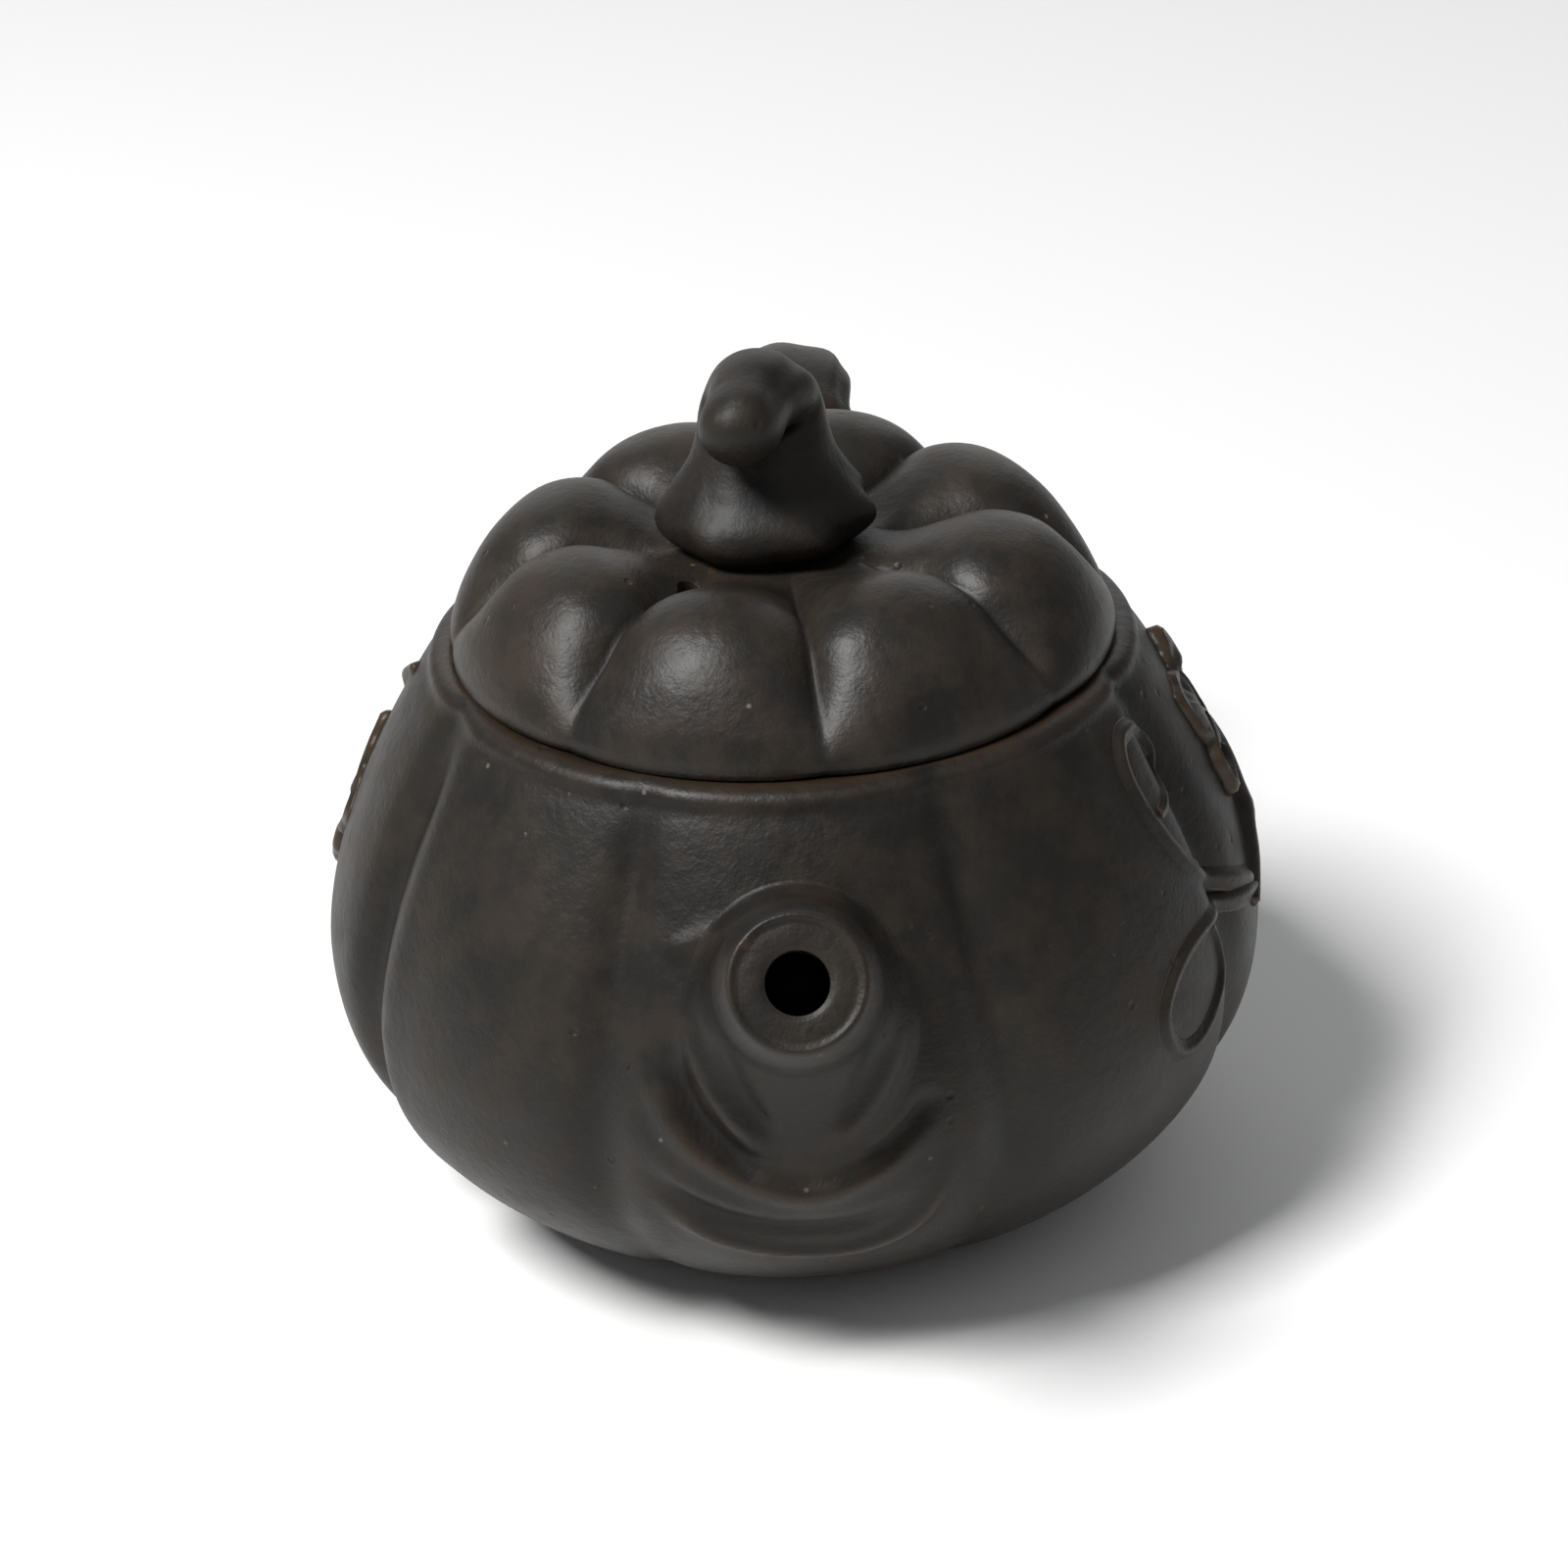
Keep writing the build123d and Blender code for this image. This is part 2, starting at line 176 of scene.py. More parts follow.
def crest_radius(z):
    """Outside radius of the pot along the crest of a rib."""
    if z < BELLY_HEIGHT:
        return FOOT_FLARE + (BELLY - FOOT_FLARE) * (1 - (1 - z / BELLY_HEIGHT) ** 2.35)
    climb = min((z - BELLY_HEIGHT) / (RIM_HEIGHT - BELLY_HEIGHT), 1.0)
    return BELLY - (BELLY - RIM) * climb**1.62


# Each groove between ribs: degrees from the spout, depth as a share, then its width as a share on the side of
# greater angle and on the side of smaller angle
GROOVES = [
    (-157.5, 1.0, 1.0, 1.0), (-112.5, 1.05, 1.0, 1.0), (-67.0, 1.55, 1.65, 0.8), (-22.5, 0.8, 1.0, 1.0),
    (22.5, 0.85, 1.15, 0.8), (67.5, 1.1, 1.15, 0.8), (112.5, 1.05, 1.15, 0.8), (157.5, 1.0, 1.15, 0.8),
]

# Folds of clay round the spout: rise and half width, then each point's degrees from the spout and height
FOLDS = [
    (1.4, 1.2, [(-13.0, 50.5), (-13.0, 46.0), (-11.6, 42.0), (-9.4, 38.4), (-6.4, 34.8), (-3.4, 32.0)]),
    (1.1, 1.3, [(12.8, 48.5), (12.4, 45.5), (10.8, 42.2), (8.0, 38.2), (4.8, 34.8), (2.4, 32.4)]),
    (-1.2, 0.95, [(-9.6, 46.5), (-8.2, 42.2), (-5.6, 37.4), (-3.0, 34.0)]),
    (-1.0, 1.0, [(9.4, 45.0), (8.0, 41.6), (5.4, 37.6), (3.0, 34.8)]),
    (-1.2, 1.0, [(-15.0, 43.0), (-13.6, 39.2), (-11.2, 35.4), (-7.8, 32.0), (-4.0, 29.6)]),
    (-1.1, 1.1, [(15.4, 38.2), (12.8, 34.8), (9.2, 31.8), (5.2, 29.8)]),
    (1.4, 1.5, [(-18.8, 44.5), (-17.4, 39.5), (-13.8, 34.0), (-8.6, 30.2), (-3.0, 27.8), (1.6, 27.4),
                (6.4, 28.8), (11.4, 31.8), (16.0, 36.6)]),
    (0.7, 2.4, [(-20.0, 36.5), (-17.4, 32.0), (-12.6, 28.0), (-6.6, 25.8), (1.0, 25.0), (7.6, 26.0),
                (13.6, 29.6)]),
    (-1.0, 1.3, [(-18.6, 30.5), (-15.0, 26.2), (-9.0, 23.0), (-1.0, 21.6), (7.0, 22.2), (12.6, 25.6)]),
    (1.2, 1.1, [(-18.2, 26.6), (-15.0, 22.6), (-10.2, 19.4), (-2.8, 17.2), (5.5, 17.1), (11.8, 19.8),
                (15.6, 25.0), (17.4, 31.5)]),
    (0.5, 0.7, [(-17.8, 51.8), (-15.6, 53.4), (-12.8, 54.4), (-9.8, 55.5), (-6.6, 56.6), (-3.4, 57.3)]),
]
FOLD_LINES = [(rise, width, smooth_line([(a, z, 0) for a, z in points], 5)) for rise, width, points in FOLDS]
FOLD_REACH = 3.2  # half widths from its line at which a fold has died out
MM_PER_DEGREE = radians(1) * 50.0


def near_line(line, angle, z, reach):
    """Distance to the line in mm along the wall, and how far along it the nearest place is, from 0 to 1."""
    best, along = reach, 0.0
    far = reach + 4
    here_x, here_y = angle * MM_PER_DEGREE, z
    for k in range(len(line) - 1):
        ax, ay = line[k].x * MM_PER_DEGREE, line[k].y
        bx, by = line[k + 1].x * MM_PER_DEGREE, line[k + 1].y
        if min(abs(here_x - ax), abs(here_x - bx)) > far or min(abs(here_y - ay), abs(here_y - by)) > far:
            continue
        run_x, run_y = bx - ax, by - ay
        t = ((here_x - ax) * run_x + (here_y - ay) * run_y) / (run_x**2 + run_y**2)
        t = min(max(t, 0.0), 1.0)
        gap = hypot(here_x - ax - run_x * t, here_y - ay - run_y * t)
        if gap < best:
            best, along = gap, (k + t) / (len(line) - 1)
    return best, along


def groove_relief(angle, z, sizes):
    """How far the wall sinks between the ribs: a broad curve with a narrower valley along each groove."""
    off_crest = abs((angle + RIB_PITCH / 2) % RIB_PITCH - RIB_PITCH / 2) / (RIB_PITCH / 2)
    height = z / RIM_HEIGHT
    fade = min(1.0, 0.35 + 1.6 * height) * (1 - 0.72 * eased(0.82, 1.0, height))
    sink = 0.85 * off_crest**2.2
    for centre, depth, wide_after, wide_before in GROOVES:
        bowed = 0
        if abs(centre) == FRONT_GROOVE:
            bowed = (2.2 if centre > 0 else -2.2) * (1 - abs(height - 0.42) / 0.58)
        gap = (angle - centre - bowed + 180) % 360 - 180
        if abs(gap) > 20:
            continue
        across = gap * MM_PER_DEGREE / (sizes.groove_width * (wide_after if gap > 0 else wide_before))
        sink += sizes.groove_depth * depth * exp(-abs(across) ** 1.75)
    proud_angle, proud, proud_width = -58.5, 0.45, 3.2
    sink -= proud * exp(-(((angle - proud_angle) / proud_width) ** 2))
    return sink * fade


def fold_relief(angle, z, sizes):
    """How far the wall stands out along the folds round the spout."""
    if abs(angle) > 27 or not 11 < z < 62:
        return 0.0
    rise = 0.0
    for height, width, line in FOLD_LINES:
        gap, along = near_line(line, angle, z, FOLD_REACH * width)
        if gap < FOLD_REACH * width:
            taper = eased(0.0, 0.3, along) * eased(0.0, 0.3, 1 - along)
            rise += height * taper * exp(-((gap / width) ** 2))
    return rise * sizes.fold_height


def wall_radius(angle, z, sizes):
    """Outside radius of the pot with its ribs, folds, the seam over the spout and the line under the rim."""
    seam = 0.08 * exp(-((angle / 0.8) ** 2)) * eased(58, 61, z) * (1 - eased(64.5, 66, z))
    rim_line = 0.12 * exp(-(((z - 65.3) / 0.7) ** 2))
    return crest_radius(z) - groove_relief(angle, z, sizes) + fold_relief(angle, z, sizes) - seam - rim_line


def around(radius, angle, z):
    """A point at this radius; the angle is in degrees from the spout, towards +X."""
    return Vector((radius * sin(radians(angle)), -radius * cos(radians(angle)), z))


def angle_of(co):
    """Degrees of a point from the spout, towards +X."""
    return degrees(atan2(co.x, -co.y))


def on_wall(angle, z, sizes, lift=0.0):
    """A point on the wall, lifted off it along its outward slope."""
    here = around(wall_radius(angle, z, sizes), angle, z)
    slope = crest_radius(z + 0.5) - crest_radius(z - 0.5)
    outward = around(1.0, angle, -slope).normalized()
    return here + outward * lift


# Building the meshes


def skinned(rings, sides, place):
    """A bmesh of rings joined in order.

    place(ring, turn) gives each point, and a ring whose points are all one closes an end.
    """
    bm = bmesh.new()
    verts = [bm.verts.new((1, 0, k)) for k in range(rings)]
    edges = [bm.edges.new(pair) for pair in zip(verts, verts[1:])]
    bmesh.ops.spin(
        bm, geom=verts + edges, cent=(0, 0, 0), axis=(0, 0, 1), dvec=(0, 0, 0),
        angle=2 * pi, steps=sides, use_merge=True, use_duplicate=False,
    )
    for v in bm.verts:
        v.co = place(round(v.co.z), atan2(v.co.y, v.co.x))
    return bm


def make_piece(name, bm, body, material, replaces=()):
    """Turns a bmesh in millimetres into a named piece that rides on a body."""
    bmesh.ops.remove_doubles(bm, verts=bm.verts, dist=2e-3)
    bmesh.ops.scale(bm, vec=(MM, MM, MM), verts=bm.verts)
    bmesh.ops.recalc_face_normals(bm, faces=bm.faces)
    mesh = bpy.data.meshes.new(name)
    bm.to_mesh(mesh)
    bm.free()
    mesh.shade_smooth()
    mesh.materials.append(material)
    piece = bpy.data.objects.new(name, mesh)
    bpy.context.scene.collection.objects.link(piece)
    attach(piece, body)
    if replaces:
        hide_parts(*replaces)
    return piece


def wall_roll(line, radius, sizes, thin_start, thin_end, knots=(), flare=0.75):
    """A roll of clay pressed on the wall along a line of degrees and heights.

    thin_start and thin_end are its thickness there as a share, knots are pairs of share of the way and
    growth, and flare is how far its edges are smeared out on the wall.
    """
    path = smooth_line([(a, z, 0) for a, z in line], 7)
    middle = [on_wall(p.x, p.y, sizes, 0.12 * radius) for p in path]
    outward = [(on_wall(p.x, p.y, sizes, 1.0) - on_wall(p.x, p.y, sizes)).normalized() for p in path]
    last = len(path) - 1
    pressed = 0.16
    blunt = 0.8 * radius

    def place(ring, turn):
        if ring == 0:
            return middle[0] - (middle[1] - middle[0]).normalized() * blunt * thin_start
        if ring == last + 2:
            return middle[last] + (middle[last] - middle[last - 1]).normalized() * blunt * thin_end
        k = ring - 1
        along = k / last
        run = (middle[min(k + 1, last)] - middle[max(k - 1, 0)]).normalized()
        side = run.cross(outward[k]).normalized()
        thick = radius * (thin_start + (1 - thin_start) * eased(0, 0.25, along))
        thick *= thin_end + (1 - thin_end) * eased(0, 0.25, 1 - along)
        for where, size in knots:
            thick *= 1 + size * exp(-(((along - where) / 0.03) ** 2))
        up = sin(turn)
        if up > 0:
            reach = cos(turn) + (flare if cos(turn) > 0 else -flare) * (1 - up) ** 2
            up = up**1.5
        else:
            reach = cos(turn) * (1 + flare)
        return middle[k] + side * thick * 1.1 * reach + outward[k] * thick * (up - pressed)

    return skinned(last + 3, 24, place)


def wall_leaf(angle, z, sizes, lean, length, width, curl, flip=1):
    """A lobed leaf with veins and a raised rim, pressed on the wall.

    lean turns its tip from upright, in degrees, and curl lifts its rim.
    """
    top_rings = 16
    layers = [(i / top_rings, "top") for i in range(top_rings + 1)]
    layers += [(1.03, "edge"), (1.0, "under"), (0.5, "under"), (0.0, "under")]
    cos_lean, sin_lean = cos(radians(lean)), sin(radians(lean))
    here = wall_radius(angle, z, sizes)

    def outline(turn):
        lobes = 1 + 0.13 * cos(5 * turn) + 0.035 * cos(15 * turn + 0.6)
        notch = 1 - 0.42 * exp(-(((abs(turn) - pi) / 0.34) ** 2))
        return lobes * notch

    def top(share, turn):
        vein = max(cos(5 * turn / 2) ** 40, 0) if abs(turn) < 2.9 else 0
        waves = 0.22 * sin(3 * turn + 1) * share**2
        rim = curl * eased(0.7, 0.96, share) * (0.55 + 0.45 * sin(2 * turn + 0.8))
        hollow = 0.6 * exp(-(((share - 0.64) / 0.16) ** 2))
        return 0.75 + 0.3 * vein * (1 - share) ** 0.5 + waves + rim - 0.4 * eased(0.95, 1.0, share) - hollow

    def place(k, turn):
        share, layer = layers[k]
        reach = outline(turn) * share
        up = 0.5 * length * reach * cos(turn)
        side = 0.5 * width * reach * sin(turn) * flip
        rise = {"edge": 0.1, "under": -0.9}.get(layer)
        if layer == "top":
            rise = top(share, turn)
        turned_up = up * cos_lean - side * sin_lean
        turned_side = up * sin_lean + side * cos_lean
        return on_wall(angle + degrees(turned_side / here), z + turned_up, sizes, rise)

    return skinned(len(layers), 96, place)


# Clay


def new_group(name, inputs, outputs):
    """A node group with its sockets, and its input and output nodes."""
    group = bpy.data.node_groups.new(name, "ShaderNodeTree")
    for label, kind, value in inputs:
        socket = group.interface.new_socket(name=label, in_out="INPUT", socket_type=kind)
        if value is not None:
            socket.default_value = value
    for label, kind in outputs:
        group.interface.new_socket(name=label, in_out="OUTPUT", socket_type=kind)
    return group, group.nodes.new("NodeGroupInput"), group.nodes.new("NodeGroupOutput")


def add_node(tree, kind, **values):
    """A node with its properties set by name and its sockets by number or label."""
    node = tree.nodes.new(kind)
    sockets = values.pop("sockets", {})
    for name, value in values.items():
        setattr(node, name, value)
    for key, value in sockets.items():
        node.inputs[key].default_value = value
    return node


def ramp_between(tree, source, low, high, out_low=0.0, out_high=1.0):
    """A smooth map of a value from one range to another."""
    node = add_node(tree, "ShaderNodeMapRange", interpolation_type="SMOOTHSTEP",
                    sockets={1: low, 2: high, 3: out_low, 4: out_high})
    tree.links.new(source, node.inputs[0])
    return node.outputs[0]


def combined(tree, operation, first, second):
    """The result of a sum on two sockets or numbers."""
    node = add_node(tree, "ShaderNodeMath", operation=operation)
    for socket, value in zip(node.inputs, (first, second)):
        if isinstance(value, (int, float)):
            socket.default_value = value
        else:
            tree.links.new(value, socket)
    return node.outputs[0]


def fired_clay_grain():
    """Clouds of colour, sand specks, pits and fine grain of fired clay."""
    group, start, end = new_group(
        "fired_clay_grain",
        [("Vector", "NodeSocketVector", None), ("Grain Size", "NodeSocketFloat", 1.0)],
        [("Cloud", "NodeSocketFloat"), ("Speck", "NodeSocketFloat"), ("Pit", "NodeSocketFloat"),
         ("Grain", "NodeSocketFloat"), ("Smear", "NodeSocketFloat")],
    )
    link = group.links.new
    scaled = add_node(group, "ShaderNodeVectorMath", operation="SCALE")
    link(start.outputs["Vector"], scaled.inputs[0])
    link(start.outputs["Grain Size"], scaled.inputs["Scale"])

    def noise(scale, detail, roughness=0.55):
        node = add_node(group, "ShaderNodeTexNoise",
                        sockets={"Scale": scale, "Detail": detail, "Roughness": roughness})
        link(scaled.outputs[0], node.inputs["Vector"])
        return node.outputs["Fac"]

    def cells(scale):
        node = add_node(group, "ShaderNodeTexVoronoi", sockets={"Scale": scale, "Randomness": 1.0})
        link(scaled.outputs[0], node.inputs["Vector"])
        return node

    link(ramp_between(group, noise(48, 5), 0.36, 0.66), end.inputs["Cloud"])
    sand = cells(520)
    small = ramp_between(group, sand.outputs["Distance"], 0.06, 0.2, 1.0, 0.0)
    split = add_node(group, "ShaderNodeSeparateColor")
    link(sand.outputs["Color"], split.inputs[0])
    chosen = ramp_between(group, split.outputs[0], 0.982, 0.99)
    link(combined(group, "MULTIPLY", small, chosen), end.inputs["Speck"])
    holes = cells(330)
    hollow = ramp_between(group, holes.outputs["Distance"], 0.06, 0.2, 1.0, 0.0)
    split_holes = add_node(group, "ShaderNodeSeparateColor")
    link(holes.outputs["Color"], split_holes.inputs[0])
    few = ramp_between(group, split_holes.outputs[1], 0.86, 0.9)
    link(combined(group, "MULTIPLY", hollow, few), end.inputs["Pit"])
    coarse = noise(900, 3)
    fine = noise(2600, 2)
    link(combined(group, "ADD", coarse, combined(group, "MULTIPLY", fine, 0.5)), end.inputs["Grain"])
    link(ramp_between(group, noise(170, 4, 0.65), 0.38, 0.7), end.inputs["Smear"])
    return group


def wear_highlight_and_hollow_shade():
    """Where edges and crests are rubbed, which lightens them with polish wear and a painted highlight: high on
    convex ridges and low in hollows, broken up by noise; and where hollows are darkened with painted shade.
    """
    group, start, end = new_group(
        "wear_highlight_and_hollow_shade",
        [("Vector", "NodeSocketVector", None), ("Break Up", "NodeSocketFloat", 0.5)],
        [("Wear Highlight", "NodeSocketFloat"), ("Hollow Shade", "NodeSocketFloat")],
    )
    link = group.links.new
    shape = add_node(group, "ShaderNodeNewGeometry")
    noise = add_node(group, "ShaderNodeTexNoise", sockets={"Scale": 140, "Detail": 4})
    link(start.outputs["Vector"], noise.inputs["Vector"])
    centred = combined(group, "SUBTRACT", noise.outputs["Fac"], 0.5)
    broken = combined(group, "MULTIPLY", centred, start.outputs["Break Up"])
    worn_and_lit = combined(group, "ADD", ramp_between(group, shape.outputs["Pointiness"], 0.505, 0.56), broken)
    # Crests: polish wear and a painted highlight.
    link(ramp_between(group, worn_and_lit, 0.05, 1.0), end.inputs["Wear Highlight"])
    # Hollows: painted shade.
    link(ramp_between(group, shape.outputs["Pointiness"], 0.44, 0.495, 1.0, 0.0), end.inputs["Hollow Shade"])
    return group


def clay_material(name, grain, wear_and_light_group, shade=1.0, roughness=0.46, crest_wear_and_highlight=0.45, bump=0.6, coat=0.02):
    """A finish of the fired clay: shade darkens or lightens it, and the rub amount is how strongly crests are
    polished and lightened with a painted highlight; hollows are darkened with painted shade.
    """
    colours = bpy.context.scene.teapot_colours
    material = bpy.data.materials.new(name)
    material.use_nodes = True
    tree = material.node_tree
    link = tree.links.new
    shader = tree.nodes["Principled BSDF"]
    where = add_node(tree, "ShaderNodeTexCoord").outputs["Object"]
    grains = add_node(tree, "ShaderNodeGroup", node_tree=grain)
    wear_and_painted_light = add_node(tree, "ShaderNodeGroup", node_tree=wear_and_light_group)
    link(where, grains.inputs["Vector"])
    link(where, wear_and_painted_light.inputs["Vector"])

    def mixed(share, first, second, most=1.0):
        node = add_node(tree, "ShaderNodeMix", data_type="RGBA")
        link(combined(tree, "MULTIPLY", share, most), node.inputs[0])
        for socket, value in ((node.inputs[6], first), (node.inputs[7], second)):
            if isinstance(value, bpy.types.NodeSocket):
                link(value, socket)
            else:
                socket.default_value = [*(min(part * shade, 1) for part in value), 1]
        return node.outputs[2]

    colour = mixed(grains.outputs["Cloud"], colours.clay_dark_and_hollow_shade, colours.clay)
    colour = mixed(grains.outputs["Smear"], colour, colours.wear_and_painted_light, 0.22)
    # Crests take the rubbed colour, as polish wear and a painted highlight.
    colour = mixed(wear_and_painted_light.outputs["Wear Highlight"], colour, colours.wear_and_painted_light, crest_wear_and_highlight)
    # Hollows take the dark clay, as painted shade.
    colour = mixed(wear_and_painted_light.outputs["Hollow Shade"], colour, colours.clay_dark_and_hollow_shade, 0.7)
    colour = mixed(grains.outputs["Speck"], colour, colours.speck, 0.75)
    link(colour, shader.inputs["Base Color"])
    rough = combined(tree, "ADD", roughness, combined(tree, "MULTIPLY", grains.outputs["Smear"], 0.09))
    rough = combined(tree, "SUBTRACT", rough, combined(tree, "MULTIPLY", wear_and_painted_light.outputs["Wear Highlight"], 0.1))
    rough = combined(tree, "ADD", rough, combined(tree, "MULTIPLY", wear_and_painted_light.outputs["Hollow Shade"], 0.12))
    link(rough, shader.inputs["Roughness"])
    height = combined(tree, "MULTIPLY", grains.outputs["Grain"], 0.5)
    height = combined(tree, "SUBTRACT", height, grains.outputs["Pit"])
    height = combined(tree, "ADD", height, combined(tree, "MULTIPLY", grains.outputs["Smear"], 0.35))
    bumps = add_node(tree, "ShaderNodeBump", sockets={"Strength": bump, "Distance": 0.00025})
    link(height, bumps.inputs["Height"])
    link(bumps.outputs["Normal"], shader.inputs["Normal"])
    shader.inputs["Specular IOR Level"].default_value = 0.27
    shader.inputs["Coat Weight"].default_value = coat
    shader.inputs["Coat Roughness"].default_value = 0.3
    return material


def clay(name):
    """The clay finish of this name, made the first time it is asked for."""
    if name in bpy.data.materials:
        return bpy.data.materials[name]
    grain = bpy.data.node_groups.get("fired_clay_grain") or fired_clay_grain()
    wear_and_light_group = bpy.data.node_groups.get("wear_highlight_and_hollow_shade") or wear_highlight_and_hollow_shade()
    finishes = {
        "burnished_clay": {},
        # The lid's copy of the clay is lightened 1.35 times: painted light standing in for the light its
        # upturned ribs catch.
        "lid_clay_painted_lighter": {"shade": 1.35, "roughness": 0.42, "coat": 0.04},
        "rubbed_knob_clay": {"shade": 0.9, "roughness": 0.5, "crest_wear_and_highlight": 0.45, "coat": 0.03},
        "relief_clay": {"shade": 1.0, "roughness": 0.44, "crest_wear_and_highlight": 0.8},
        "trued_rim_clay": {"shade": 1.1, "roughness": 0.45, "crest_wear_and_highlight": 0.5, "coat": 0.05},
        "bare_clay": {"shade": 1.35, "roughness": 0.62, "crest_wear_and_highlight": 0.3, "bump": 0.35, "coat": 0.0},
    }
    return clay_material(name, grain, wear_and_light_group, **finishes[name])


# Pieces


class TEAPOT_OT_wall(bpy.types.Operator):
    """Builds the ribbed wall of the pot with the folds under its spout, its rim and its inside"""

    bl_idname = "teapot.wall"
    bl_label = "Pot Wall"

    def execute(self, context):
        sizes = context.scene.teapot_sizes
        low, high, count = BODY_BOTTOM + 0.6, RIM_HEIGHT - RIM_ROUND, 104
        bottom = [
            ("plain", FLOOR_RADIUS, FLOOR_TOP), ("plain", FLOOR_RADIUS, BODY_BOTTOM + 0.05),
            ("plain", UNDERSIDE, BODY_BOTTOM + 0.02),
        ]
        outside = [("ribbed", 0, low + (high - low) * i / (count - 1)) for i in range(count)]
        rim = [
            ("rim", RIM_ROUND * (1 - cos(radians(t))), high + RIM_ROUND * sin(radians(t)))
            for t in (15, 32, 50, 68, 90)
        ]
        mouth = [("plain", MOUTH_RING_OUTER + 0.1, RIM_HEIGHT)]
        heights = [RIM_HEIGHT - 0.4 - (RIM_HEIGHT - FLOOR_TOP - 1.6) * i / 26 for i in range(27)]
        inside = [("plain", self.inside(z), z) for z in heights]
        floor = [("plain", self.inside(FLOOR_TOP) - 2.2, FLOOR_TOP)]
        rows = bottom + outside + rim + mouth + inside + floor

        def place(k, turn):
            kind, radius, z = rows[k]
            angle = degrees(turn) + 90
            angle -= 360 if angle > 180 else 0
            if kind == "ribbed":
                radius = wall_radius(angle, z, sizes)
            if kind == "rim":
                radius = wall_radius(angle, high, sizes) - radius
            return around(radius, angle, z)

        bm = skinned(len(rows), sizes.lathe_steps, place)
        bmesh.ops.bridge_loops(bm, edges=[e for e in bm.edges if e.is_boundary])
        halves = ("body_left_half", "body_right_half")
        folds = ("spout_fold_upper", "spout_fold_middle", "spout_hem")
        make_piece("pot_wall", bm, "pot", clay("burnished_clay"), halves + folds)
        return {"FINISHED"}

    @staticmethod
    def inside(z):
        """Inside radius of the pot, clear of the deepest groove."""
        share = 1 - abs(2 * z / RIM_HEIGHT - 1) ** 3
        return crest_radius(z) - 0.3 - 1.7 * share - WALL


class TEAPOT_OT_spout(bpy.types.Operator):
    """Builds the spout, its rounded lip and the flare that runs into the wall"""

    bl_idname = "teapot.spout"
    bl_label = "Spout"

    def execute(self, context):
        sizes = context.scene.teapot_sizes
        bore = [(3.3, 15.0), (3.3, 6.0), (3.3, 1.2)]
        dish = [(3.5, 0.62), (4.1, 0.4), (5.3, 0.4), (6.0, 0.48)]
        lip = [(6.4, 0.42), (6.8, 0.25), (7.2, 0.42), (7.6, 1.2)]
        outside = [(8.0, 2.5), (8.35, 4.0), (8.6, 6.0), (8.75, 8.0), (8.8, 10.0)]
        barrel = smooth_line([(radius, back, 0) for radius, back in bore + dish + lip + outside], 3)
        flare_rings = 22
        rings = 1 + len(barrel) + flare_rings + 2
        bore_depth, barrel_radius, root_depth = 15.0, 8.8, 21.5

        def point(ring_radius, back, turn):
            across = Vector((1, 0, 0)) * cos(turn) + SPOUT_UP * sin(turn)
            return SPOUT_TIP - SPOUT_OUT * back + across * ring_radius

        def wall_back(ring_radius, turn):
            """How far back from the tip a line along the spout meets the wall."""
            low, high = 8.0, 34.0
            for _ in range(11):
                back = (low + high) / 2
                here = point(ring_radius, back, turn)
                if hypot(here.x, here.y) > wall_radius(angle_of(here), here.z, sizes):
                    low = back
                else:
                    high = back
            return (low + high) / 2

        def place(k, turn):
            if k == 0:
                return point(0, bore_depth, turn)
            if k <= len(barrel):
                return point(barrel[k - 1].x, barrel[k - 1].y, turn)
            below = (1 - sin(turn)) / 2
            edge = 11.8 + 8.0 * below**3
            share = (k - len(barrel)) / flare_rings
            if share > 1:
                if k == rings - 1:
                    return point(0, root_depth, turn)
                return point(9.0, wall_back(min(edge, 10.0), turn) + 1.6, turn)
            reach = barrel_radius + (edge - barrel_radius) * share
            rise = 7.4 * (1 - share) ** (3.6 - 1.3 * below)
            rise += 0.5 * (1 - below) ** 0.7 * exp(-(((share - 0.5) / 0.22) ** 2))
            rise -= 0.45 * eased(0.86, 1.0, share)
            return point(reach, wall_back(reach, turn) - rise, turn)

        bm = skinned(rings, 112, place)
        make_piece("spout_skin", bm, "pot", clay("burnished_clay"), ("spout",))
        return {"FINISHED"}


